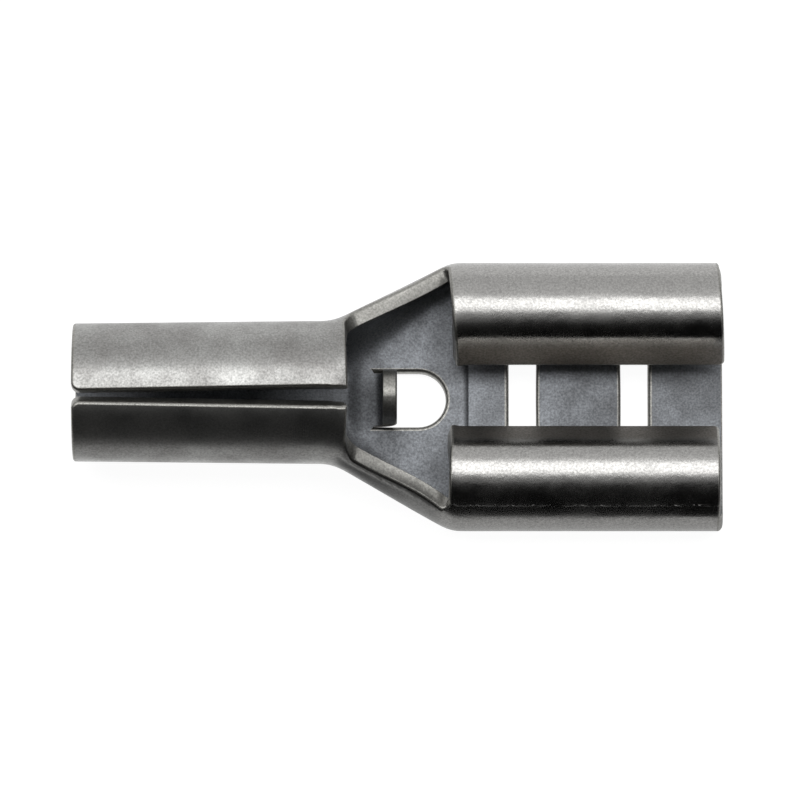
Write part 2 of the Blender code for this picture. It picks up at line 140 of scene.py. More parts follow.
@dataclass(frozen=True)
class SheetFold:
    """The folded form of the sheet, with the sizes that it is folded to."""

    stock: float = 0.42 * MM
    tab_width: float = 6.35 * MM
    tab_thickness: float = 0.8 * MM
    tab_side_room: float = 0.325 * MM
    tab_grip: float = 0.1 * MM
    barrel_length: float = 7.9 * MM
    neck_length: float = 2.99 * MM
    rail_length: float = 7.83 * MM
    mouth_lead: float = 0.13 * MM
    rail_skew: float = 0.16 * MM
    barrel_radius: float = 2.0 * MM
    barrel_spread: float = 0.08 * MM
    splay_before_neck: float = 0.32 * MM
    splay_past_neck: float = 0.09 * MM
    splay_rear_blend: float = 0.84 * MM
    splay_front_blend: float = 0.5 * MM
    flattening_start: float = 0.92 * MM
    foot_radius: float = 1.02 * MM
    crown_radius: float = 1.52 * MM
    crown_angle: float = math.radians(107)
    shoulder_radius: float = 0.9 * MM
    shoulder_angle: float = math.radians(37)
    lip_length: float = 1.07 * MM
    window_width: float = 1.6 * MM
    window_length: float = 2.09 * MM
    window_to_rail: float = 0.095 * MM
    tongue_bend_radius: float = 0.25 * MM
    tongue_root: float = 0.3 * MM
    step_from_rail: float = 0.36 * MM
    step_length: float = 0.14 * MM
    step_height: float = 0.1 * MM
    rise_length: float = 0.5 * MM
    slot_width: float = 0.8 * MM
    slot_end_room: float = 0.4 * MM
    first_slot: float = 1.74 * MM
    slot_pitch: float = 3.25 * MM
    detent_height: float = 0.1 * MM
    seam: Seam = Seam()
    lip_runs: int = 16  # straight runs that the barrel's left edge is followed in

    @property
    def mid(self) -> float:
        """Half the stock, from its middle to either face."""
        return self.stock / 2

    @property
    def x_rear(self) -> float:
        """Station of the wire end."""
        lead = max(self.mouth_lead, self.rail_skew)
        return -(self.barrel_length + self.neck_length + self.rail_length + lead) / 2

    @property
    def x_neck(self) -> float:
        """Station where the barrel ends."""
        return self.x_rear + self.barrel_length

    @property
    def x_taper(self) -> float:
        """Station where the round section starts to flatten."""
        return self.x_neck - self.flattening_start

    @property
    def x_rail(self) -> float:
        """Station where the rails start."""
        return self.x_neck + self.neck_length

    @property
    def x_rail_front(self) -> float:
        """Station where the feet of the rails end."""
        return self.x_rail + self.rail_length

    @property
    def x_mouth(self) -> float:
        """Station of the floor's front edge."""
        return self.x_rail_front + self.mouth_lead

    @property
    def x_window_nose(self) -> float:
        """Station of the window's round end."""
        return self.x_rail - self.window_to_rail

    @property
    def x_tongue(self) -> float:
        """Station where the tongue's bend starts."""
        return self.x_window_nose - self.window_length

    @property
    def x_step(self) -> float:
        """Station of the step that stops the tab."""
        return self.x_rail + self.step_from_rail

    @property
    def x_first_slot(self) -> float:
        """Station where the first slot starts."""
        return self.x_rail + self.first_slot

    @property
    def x_second_slot(self) -> float:
        """Station where the second slot starts."""
        return self.x_first_slot + self.slot_pitch

    @property
    def barrel_mid(self) -> float:
        """Radius of the barrel on the middle of the stock."""
        return self.barrel_radius - self.mid

    @property
    def foot_mid(self) -> float:
        """Radius of the rails' feet on the middle of the stock."""
        return self.foot_radius - self.mid

    @property
    def crown_mid(self) -> float:
        """Radius of the rails' crowns on the middle of the stock."""
        return self.crown_radius - self.mid

    @property
    def shoulder_mid(self) -> float:
        """Radius of the rails' shoulders on the middle of the stock."""
        return self.shoulder_radius - self.mid

    @property
    def rail_half(self) -> float:
        """Half the width over the rails, on the middle of the stock."""
        return self.tab_width / 2 + self.tab_side_room + self.mid

    @property
    def floor_half(self) -> float:
        """Half the width of the receptacle's flat floor."""
        return self.rail_half - self.foot_mid

    @property
    def slot_half(self) -> float:
        """Half the length of a slot across the floor."""
        return self.floor_half - self.slot_end_room

    @property
    def foot_end(self) -> float:
        """Distance round the receptacle's section to the top of the foot."""
        return self.floor_half + self.foot_mid * QUARTER

    @property
    def riser(self) -> float:
        """Upright run between foot and crown that brings the lips down onto the tab.

        Returns:
            The length of the run, 0 or more.
        """
        turned = self.crown_angle - QUARTER
        lip_turn = turned + self.shoulder_angle
        crown_drop = self.crown_mid * (1 - math.cos(turned))
        shoulder_drop = self.shoulder_mid * (math.cos(turned) - math.cos(lip_turn))
        lip_drop = self.lip_length * math.sin(lip_turn)
        edge = self.stock + self.tab_thickness - self.tab_grip + self.mid * math.cos(lip_turn)
        top = edge + lip_drop + shoulder_drop + crown_drop
        return max(top - self.mid - self.foot_mid - self.crown_mid, 0.0)

    @property
    def lip_edge(self) -> float:
        """Distance round the receptacle's section to the edge of the lip.

        Returns:
            The distance, without the sign of the side.
        """
        crown = self.crown_mid * self.crown_angle
        shoulder = self.shoulder_mid * self.shoulder_angle
        return self.foot_end + self.riser + crown + shoulder + self.lip_length

    def half_width(self, x: np.ndarray) -> np.ndarray:
        """Half the width of the terminal on the middle of the stock.

        Args:
            x: Stations along the terminal.

        Returns:
            The half width at each station.
        """
        barrel = self.barrel_mid + self.barrel_spread * clamp((x - self.x_rear) / self.barrel_length)
        start = self.x_neck - self.splay_before_neck
        end = self.x_rail + self.splay_past_neck
        slope = (self.rail_half - self.barrel_mid - self.barrel_spread) / (end - start)
        opened = self.soft_corner(x - start, self.splay_rear_blend)
        opened = opened - self.soft_corner(x - end, self.splay_front_blend)
        return barrel + slope * opened

    @staticmethod
    def soft_corner(x: np.ndarray, blend: float) -> np.ndarray:
        """Gives max(x, 0) with its corner rounded over the length blend.

        Args:
            x: Distances past the corner.
            blend: Length of the rounding.

        Returns:
            The rounded value at each distance.
        """
        rounded = (x + blend / 2) ** 2 / (2 * blend)
        return np.where(np.abs(x) >= blend / 2, np.maximum(x, 0.0), rounded)

    def section(self, x: np.ndarray) -> list[tuple[np.ndarray, np.ndarray | None]]:
        """The folds at each station, outwards from the middle of the floor.

        Args:
            x: Stations along the terminal.

        Returns:
            The (length, radius) of floor, foot, riser, crown, shoulder and lip. A radius of None
            is a straight run, and the lip has no end.
        """
        to_rail = ease(x, self.x_taper, self.x_rail)
        foot = mix(self.barrel_mid, self.foot_mid, to_rail)
        crown = mix(self.barrel_mid, self.crown_mid, to_rail)
        shoulder = np.full_like(crown, self.shoulder_mid)
        return [
            (self.half_width(x) - foot, None),
            (foot * QUARTER, foot),
            (self.riser * to_rail, None),
            (crown * mix(math.pi, self.crown_angle, to_rail), crown),
            (shoulder * self.shoulder_angle * to_rail, shoulder),
            (np.full_like(crown, math.inf), None),
        ]

    def walk(
        self, x: np.ndarray, distance: np.ndarray, straight: np.ndarray | float = 0.0
    ) -> tuple[np.ndarray, np.ndarray]:
        """The place reached in the section after a distance round it.

        Args:
            x: Stations along the terminal.
            distance: Distances from the middle of the floor, 0 or more.
            straight: How much further to go without turning.

        Returns:
            How far out and how high each place lies.
        """
        out = np.zeros_like(x)
        high = np.full_like(x, self.mid)
        heading = np.zeros_like(x)
        left = distance.copy()
        for length, radius in self.section(x):
            step = np.minimum(length, left)
            if radius is None:
                out += step * np.cos(heading)
                high += step * np.sin(heading)
            else:
                turned = heading + step / radius
                out += radius * (np.sin(turned) - np.sin(heading))
                high += radius * (np.cos(heading) - np.cos(turned))
                heading = turned
            left = left - step
        return out + straight * np.cos(heading), high + straight * np.sin(heading)

    def floor_lift(self, x: np.ndarray, s: np.ndarray) -> np.ndarray:
        """How far the floor stands above its level in the neck and on the detent panel.

        Args:
            x: Stations along the terminal.
            s: Distances round the section.

        Returns:
            The lift at each place.
        """
        (flat, _), (foot, _), *_ = self.section(x)
        raised = 1 - smooth(clamp((np.abs(s) - flat) / foot))
        root = self.x_tongue - self.tongue_root
        raised = raised * ease(x, root - self.rise_length, root)
        raised = raised * (1 - ease(x, self.x_step, self.x_step + self.step_length))
        panel = self.x_first_slot + self.slot_width
        along = clamp((x - panel) / (self.x_second_slot - panel))
        bow = 4 * along * (1 - along)  # 0 at both slots and 1 halfway between them
        detent = bow * (1 - ease(np.abs(s), 0.0, self.slot_half))
        return self.step_height * raised + self.detent_height * detent

    def middle(self, x: np.ndarray, s: np.ndarray) -> np.ndarray:
        """Where places of the blank lie once folded, on the middle of the stock.

        Args:
            x: Stations along the terminal.
            s: Distances round the section, with the sign of the side.

        Returns:
            One point in space for each place.
        """
        stations = np.array(spread(self.x_rear, self.x_neck, self.barrel_length / self.lip_runs))
        edges = [self.seam_edge(station, Side.LEFT) for station in stations]
        straight = np.maximum(s - np.interp(x, stations, edges) + self.seam.flat_lip, 0.0)
        straight = straight * (1 - ease(x, self.x_neck, self.x_neck + self.stock))
        out, high = self.walk(x, np.abs(s) - straight, straight)
        skew = self.rail_skew * ease(s, self.foot_end, self.lip_edge) * ease(x, self.x_neck, self.x_rail)
        return np.stack([x + skew, np.sign(s) * out, high + self.floor_lift(x, s)], axis=1)

    def seam_edge(self, x: float, side: Side) -> float:
        """Distance round the section to the barrel's edge at the seam.

        Args:
            x: Station along the terminal.
            side: The side of the seam.

        Returns:
            The distance, without the sign of the side.
        """
        station = np.array([x])
        share = clamp((x - self.x_rear) / self.barrel_length)
        gap = mix(self.seam.rear_gap, self.seam.front_gap, share)
        target = gap / 2 + side.value * self.seam.shift
        (flat, _), (foot, _), (riser, _), (_, crown), *_ = self.section(station)
        centre = self.half_width(station) - crown
        angle = math.acos(((target - centre) / crown)[0])
        return float((flat + foot + riser + crown * angle)[0])

    def edge_at_height(self, x: float, top: float) -> float:
        """Distance round the section at which a side wall reaches a height.

        Args:
            x: Station along the terminal.
            top: The height.

        Returns:
            The distance, without the sign of the side.
        """
        station = np.array([x])
        (flat, _), (foot, _), *_ = self.section(station)
        low = float((flat + foot)[0])
        high = low + top
        for _ in range(HALVINGS):
            half = (low + high) / 2
            if self.walk(station, np.array([half]))[1][0] < top:
                low = half
            else:
                high = half
        return low


@dataclass(frozen=True)
class SideWalls:
    """Heights of the neck's side walls at the barrel and at the rails."""

    low_rear: float = 2.5 * MM
    low_front: float = 1.6 * MM
    high_rear: float = 2.9 * MM
    high_front: float = 2.02 * MM

    def top(self, side: Side, share: float) -> float:
        """Height of a wall along the neck.

        Args:
            side: The side of the wall.
            share: The share of the neck's length, from the barrel on.

        Returns:
            The height.
        """
        if side is Side.LEFT:
            return mix(self.low_rear, self.low_front, share)
        return mix(self.high_rear, self.high_front, share)


class Bench:
    """The few hand operations that the pieces are made with."""

    @staticmethod
    def clear() -> None:
        """Deselects every object."""
        if bpy.context.object and bpy.context.object.mode != "OBJECT":
            bpy.ops.object.mode_set(mode="OBJECT")
        bpy.ops.object.select_all(action="DESELECT")

    @staticmethod
    def take(piece: bpy.types.Object) -> None:
        """Makes this the one selected and active object.

        Args:
            piece: The object.
        """
        Bench.clear()
        piece.select_set(True)
        bpy.context.view_layer.objects.active = piece

    @staticmethod
    def block(name: str, low: Vector, high: Vector) -> bpy.types.Object:
        """Adds a block between two corners.

        Args:
            name: Name of the new object.
            low: Its lowest corner.
            high: Its highest corner.

        Returns:
            The block, with its place in its mesh.
        """
        Bench.clear()
        bpy.ops.mesh.primitive_cube_add(size=1, location=(low + high) / 2, scale=high - low)
        bpy.ops.object.transform_apply(location=True, rotation=True, scale=True)
        piece = bpy.context.object
        piece.name = name
        piece.data.name = name
        return piece

    @staticmethod
    def edit(piece: bpy.types.Object, kind: str) -> None:
        """Opens a piece in edit mode with nothing selected.

        Args:
            piece: The object to edit.
            kind: What is selected there: VERT, EDGE or FACE.
        """
        Bench.take(piece)
        bpy.ops.object.mode_set(mode="EDIT")
        bpy.ops.mesh.select_mode(type=kind)
        bpy.ops.mesh.select_all(action="DESELECT")

    @staticmethod
    def pick_edges(piece: bpy.types.Object, wanted: Callable[[bmesh.types.BMEdge], bool]) -> None:
        """Selects the edges of the piece in edit mode that pass a test.

        Args:
            piece: The object in edit mode.
            wanted: The test, which is given an edge.
        """
        mesh = bmesh.from_edit_mesh(piece.data)
        for edge in mesh.edges:
            edge.select_set(False)
        for edge in [edge for edge in mesh.edges if wanted(edge)]:
            edge.select_set(True)
        mesh.select_flush_mode()
        bmesh.update_edit_mesh(piece.data)

    @staticmethod
    def done() -> None:
        """Leaves edit mode."""
        bpy.ops.object.mode_set(mode="OBJECT")

    @staticmethod
    def read(
        items: bpy.types.bpy_prop_collection, name: str, width: int = 1, kind: type = float
    ) -> np.ndarray:
        """Reads one property of a mesh's vertices, faces or face corners.

        Args:
            items: The vertices, faces or face corners.
            name: The property.
            width: How many numbers it has.
            kind: What kind of numbers they are.

        Returns:
            One number for each item, or one row where width is more than 1.
        """
        values = np.zeros(len(items) * width, kind)
        items.foreach_get(name, values)
        return values if width == 1 else values.reshape(-1, width)

    @staticmethod
    def cut(piece: bpy.types.Object, tool: bpy.types.Object) -> None:
        """Takes the tool's volume out of a piece and removes the tool.

        Args:
            piece: The object that is cut.
            tool: The object that cuts it.
        """
        Bench.take(piece)
        cut = piece.modifiers.new(tool.name, "BOOLEAN")
        cut.operation = "DIFFERENCE"
        cut.solver = "EXACT"
        cut.object = tool
        bpy.ops.object.modifier_apply(modifier=cut.name)
        bpy.data.objects.remove(tool, do_unlink=True)


@dataclass
class Blank:
    """The flat blank: strip punched to its outline, with its openings and worked edges."""

    fold: SheetFold
    walls: SideWalls = SideWalls()
    barrel_rear_corner: float = 0.25 * MM
    barrel_front_corner: float = 0.23 * MM
    notch_rear_radius: float = 0.4 * MM
    notch_front_radius: float = 0.22 * MM
    lip_corner: float = 0.17 * MM
    mouth_corner: float = 0.17 * MM
    mouth_run_out: float = 0.5 * MM
    slot_corner: float = 0.1 * MM
    slit: float = 0.03 * MM  # what the lancing takes out round the tongue
    roll: float = 0.08 * MM  # the corner that the punch drags round, on the outer side
    hole_roll: float = 0.12 * MM  # the same round the holes, which are pierced from the inner side
    burr: float = 0.035 * MM  # the blunted burr on the other side
    roll_segments: int = 4
    burr_segments: int = 2
    corner_segments: int = 10
    curve_step: float = 0.35 * MM  # between the points of a curved edge
    straight_step: float = 1.4 * MM  # the same where the barrel's edge is nearly straight
    grid: float = 0.14 * MM  # between the fold lines
    step_fineness: int = 5  # how many times closer they lie in the small step
    bend_fineness: int = 3  # and in the tongue's bend
    room: float = 0.2 * MM  # round the holes, wider than their worked edges
    corner_reach: float = 0.01 * MM  # how near its place a corner is looked for
    level: float = 0.5  # faces that look more upwards or downwards than this are the strip's own
    exactness: float = 0.0005 * MM
    sliver: float = 0.003 * MM
    flatness: float = math.radians(0.5)

    def punch(self, name: str, side: Side, edge: list[tuple[float, float]]) -> bpy.types.Object:
        """Makes a punch that takes away all that lies outside an edge of the blank.

        Args:
            name: Name of the punch.
            side: The side of the blank that it works on.
            edge: Points (x, s) of the edge, with s growing outwards on either side.

        Returns:
            The punch.
        """
        far = self.fold.lip_edge + self.fold.stock
        deep = self.fold.stock
        (x, s), (after, _) = edge[:2]
        corners = [side.value * s, side.value * far]
        low = Vector((x, min(corners), -deep))
        high = Vector((after, max(corners), deep))
        tool = Bench.block(name, low, high)
        Bench.edit(tool, "EDGE")
        for index, (x, s) in enumerate(edge[1:], start=1):
            before = edge[index - 1]
            if index > 1:
                self.pick_end(tool, before[0], None)
                bpy.ops.mesh.select_mode(type="FACE")
                move = {"value": (x - before[0], 0, 0)}
                bpy.ops.mesh.extrude_region_move(TRANSFORM_OT_translate=move)
                bpy.ops.mesh.select_mode(type="EDGE")
            self.pick_end(tool, x, side.value * before[1])
            bpy.ops.transform.translate(value=(0, side.value * (s - before[1]), 0))
        Bench.done()
        return tool

    def pick_end(self, tool: bpy.types.Object, x: float, y: float | None) -> None:
        """Selects a punch's edges at a station, all of them or only those at one y.

        Args:
            tool: The punch, in edit mode.
            x: The station.
            y: Where the edges lie across, or None for all of them.
        """

        def wanted(edge: bmesh.types.BMEdge) -> bool:
            """Whether both ends of an edge lie there.

            Args:
                edge: The edge.

            Returns:
                True where they do.
            """
            for vert in edge.verts:
                if abs(vert.co.x - x) > self.exactness:
                    return False
                if y is not None and abs(vert.co.y - y) > self.exactness:
                    return False
            return True

        Bench.pick_edges(tool, wanted)

    def round_corners(
        self, piece: bpy.types.Object, places: list[tuple[float, float]], radius: float
    ) -> None:
        """Rounds the corners of a flat piece at some places.

        Args:
            piece: The piece, not in edit mode.
            places: The corners' (x, y).
            radius: The radius of the rounding.
        """

        def wanted(edge: bmesh.types.BMEdge) -> bool:
            """Whether an edge stands upright at one of the places.

            Args:
                edge: The edge.

            Returns:
                True where it does.
            """
            a, b = (vert.co for vert in edge.verts)
            if (a - b).to_2d().length >= self.exactness:
                return False
            return any((a.to_2d() - Vector(place)).length < self.corner_reach for place in places)

        Bench.edit(piece, "EDGE")
        Bench.pick_edges(piece, wanted)
        bpy.ops.mesh.bevel(offset=radius, segments=self.corner_segments, profile=0.5, affect="EDGES")
        Bench.done()

    def seam_line(self, side: Side) -> tuple[list[float], list[float]]:
        """Where the barrel's edge at the seam runs on the blank.

        Args:
            side: The side of the seam.

        Returns:
            Stations, and the distance round the section to the edge at each of them.
        """
        stations = spread(self.fold.x_rear, self.fold.x_neck, self.curve_step)
        return stations, [self.fold.seam_edge(x, side) for x in stations]

    def wall_line(self, side: Side) -> tuple[list[float], list[float]]:
        """Where a neck wall's edge runs on the blank.

        Args:
            side: The side of the wall.

        Returns:
            Stations, and the distance round the section to the edge at each of them.
        """
        fold = self.fold
        stations = spread(fold.x_neck, fold.x_rail, self.curve_step)
        edges = []
        for x in stations:
            share = (x - fold.x_neck) / fold.neck_length
            edges.append(fold.edge_at_height(x, self.walls.top(side, share)))
        return stations, edges

    def punch_outline(self, plate: bpy.types.Object) -> None:
        """Punches the sides and the mouth of the blank, and rounds the corners between them.

        Args:
            plate: The block of strip.
        """
        fold = self.fold
        for side in Side:
            stations = spread(fold.x_rear - fold.stock, fold.x_taper, self.straight_step)[:-1]
            stations += spread(fold.x_taper, fold.x_neck + fold.stock, self.curve_step)
            seam = [(x, fold.seam_edge(x, side)) for x in stations]
            wall = list(zip(*self.wall_line(side)))
            # The mouth's cut goes on to twice its length, past the front edge of the strip.
            mouth = [
                (fold.x_rail_front, fold.foot_end),
                (fold.x_mouth + fold.mouth_lead, fold.foot_end - 2 * self.mouth_run_out),
            ]
            for name, edge in (("seam_punch", seam), ("wall_punch", wall), ("mouth_punch", mouth)):
                Bench.cut(plate, self.punch(name, side, edge))
            barrel_ends = [(x, fold.seam_edge(x, side)) for x in (fold.x_rear, fold.x_neck)]
            lips = [(x, fold.lip_edge) for x in (fold.x_rail, fold.x_rail_front)]
            mouths = [mouth[0], (fold.x_mouth, fold.foot_end - self.mouth_run_out)]
            for corners, radius in (
                (barrel_ends[:1], self.barrel_rear_corner),
                (barrel_ends[1:], self.barrel_front_corner),
                (wall[:1], self.notch_rear_radius),
                (wall[-1:], self.notch_front_radius),
                (lips, self.lip_corner),
                (mouths, self.mouth_corner),
            ):
                self.round_corners(plate, [(x, side.value * s) for x, s in corners], radius)

    def nosed_block(
        self, name: str, x_start: float, x_nose: float, half: float, deep: float
    ) -> bpy.types.Object:
        """Makes a block through the stock with one round end.

        Args:
            name: Name of the block.
            x_start: Station of its square end.
            x_nose: Station of its round end.
            half: Half its width, and the radius of its nose.
            deep: Half its height.

        Returns:
            The block.
        """
        tool = Bench.block(name, Vector((x_start, -half, -deep)), Vector((x_nose, half, deep)))
        corners = [(x_nose, half), (x_nose, -half)]
        self.round_corners(tool, corners, half - self.exactness)
        return tool

    def lance_tongue(self, plate: bpy.types.Object) -> None:
        """Slits the tongue free along its sides and round its nose.

        Args:
            plate: The blank.
        """
        fold = self.fold
        half = fold.window_width / 2
        slit = self.nosed_block("window_slit", fold.x_tongue, fold.x_window_nose, half, fold.stock)
        start = fold.x_tongue - fold.stock
        nose = fold.x_window_nose - self.slit
        core = self.nosed_block("tongue_core", start, nose, half - self.slit, 2 * fold.stock)
        Bench.cut(slit, core)
        Bench.cut(plate, slit)

    def pierce_slots(self, plate: bpy.types.Object) -> None:
        """Pierces the two slots across the receptacle's floor.

        Args:
            plate: The blank.
        """
        fold = self.fold
        half = fold.slot_half
        for start in (fold.x_first_slot, fold.x_second_slot):
            end = start + fold.slot_width
            low = Vector((start, -half, -fold.stock))
            tool = Bench.block("slot_punch", low, Vector((end, half, fold.stock)))
            corners = [(x, y) for x in (start, end) for y in (-half, half)]
            self.round_corners(tool, corners, self.slot_corner)
            Bench.cut(plate, tool)

    def rims(self, x: np.ndarray, s: np.ndarray) -> np.ndarray:
        """Which places lie on the rims of the window and the slots, pierced from the inner side.

        Args:
            x: Stations along the terminal.
            s: Distances round the section.

        Returns:
            Whether each place lies there.
        """
        fold = self.fold
        end = fold.x_second_slot + fold.slot_width
        along = (x > fold.x_tongue - self.room) & (x < end + self.room)
        return along & (np.abs(s) < fold.slot_half + self.room) & ~self.on_tongue(x, s)

    def on_tongue(self, x: np.ndarray, s: np.ndarray) -> np.ndarray:
        """Which places of the blank lie on the tongue, past its root.

        Args:
            x: Stations along the terminal.
            s: Distances round the section.

        Returns:
            Whether each place lies there.
        """
        half = (self.fold.window_width - self.slit) / 2
        centre = self.fold.x_window_nose - self.fold.window_width / 2
        inside = np.where(x > centre, np.hypot(x - centre, s) < half, np.abs(s) < half)
        return (x > self.fold.x_tongue) & inside

    def work_edges(self, plate: bpy.types.Object) -> None:
        """Gives every sheared edge its rolled corner and its blunted burr.

        Args:
            plate: The blank, cut to its final outline.
        """
        for on_rims, inner, width, segments in (
            (False, False, self.roll, self.roll_segments),
            (True, True, self.hole_roll, self.roll_segments),
            (False, True, self.burr, self.burr_segments),
            (True, False, self.burr, self.burr_segments),
        ):

            def wanted(edge: bmesh.types.BMEdge) -> bool:
                """Whether an edge runs between a sheared side and the face being worked.

                Args:
                    edge: The edge.

                Returns:
                    True where it does.
                """
                middle = (edge.verts[0].co + edge.verts[1].co) / 2
                if on_rims != bool(self.rims(np.array([middle.x]), np.array([middle.y]))[0]):
                    return False
                height = self.fold.mid if inner else -self.fold.mid
                if any(abs(vert.co.z - height) > self.exactness for vert in edge.verts):
                    return False
                own = [abs(face.normal.z) > self.level for face in edge.link_faces]
                return own.count(True) == 1

            Bench.edit(plate, "EDGE")
            Bench.pick_edges(plate, wanted)
            bpy.ops.mesh.bevel(
                offset=width,
                offset_type="OFFSET",
                segments=segments,
                profile=0.5,
                affect="EDGES",
                clamp_overlap=False,
            )
            Bench.done()

    def score(self, plate: bpy.types.Object) -> None:
        """Lays fold lines across and along the whole blank, and cuts it into triangles.

        Args:
            plate: The blank with its worked edges.
        """
        fold = self.fold
        stations = [fold.x_rear, fold.x_taper, fold.x_tongue, fold.x_rail, fold.x_step]
        stations += [fold.x_step + fold.step_length, fold.x_mouth]
        across = []
        for start, end in zip(stations, stations[1:]):
            step = self.grid / self.step_fineness if start == fold.x_step else self.grid
            across += spread(start, end, step)[:-1]
        bend = (fold.tongue_bend_radius + fold.mid) * QUARTER
        across += spread(fold.x_tongue, fold.x_tongue + bend, self.grid / self.bend_fineness)[1:]
        marks = [0.0, fold.floor_half, fold.foot_end, fold.lip_edge]
        along = []
        for start, end in zip(marks, marks[1:]):
            along += spread(start, end, self.grid)[:-1]
        along += [-s for s in along[1:]]
        Bench.edit(plate, "FACE")
        lines = [((x, 0, 0), (1, 0, 0)) for x in across[1:]] + [((0, s, 0), (0, 1, 0)) for s in along]
        for place, normal in lines:
            bpy.ops.mesh.select_all(action="SELECT")
            bpy.ops.mesh.bisect(plane_co=place, plane_no=normal, threshold=self.exactness)
        bpy.ops.mesh.select_all(action="SELECT")
        bpy.ops.mesh.remove_doubles(threshold=self.sliver)
        bpy.ops.mesh.quads_convert_to_tris(quad_method="SHORTEST_DIAGONAL", ngon_method="BEAUTY")
        Bench.done()

    def make(self) -> bpy.types.Object:
        """Makes the flat blank, lying on both sides of z = 0 with its outer face down.

        Returns:
            The blank.
        """
        fold = self.fold
        low = Vector((fold.x_rear, -fold.lip_edge, -fold.mid))
        high = Vector((fold.x_mouth, fold.lip_edge, fold.mid))
        plate = Bench.block("folded_sheet", low, high)
        self.punch_outline(plate)
        self.lance_tongue(plate)
        self.pierce_slots(plate)
        Bench.edit(plate, "FACE")
        bpy.ops.mesh.select_all(action="SELECT")
        bpy.ops.mesh.remove_doubles(threshold=self.sliver)
        bpy.ops.mesh.dissolve_limited(angle_limit=self.flatness)
        Bench.done()
        self.work_edges(plate)
        self.score(plate)
        return plate


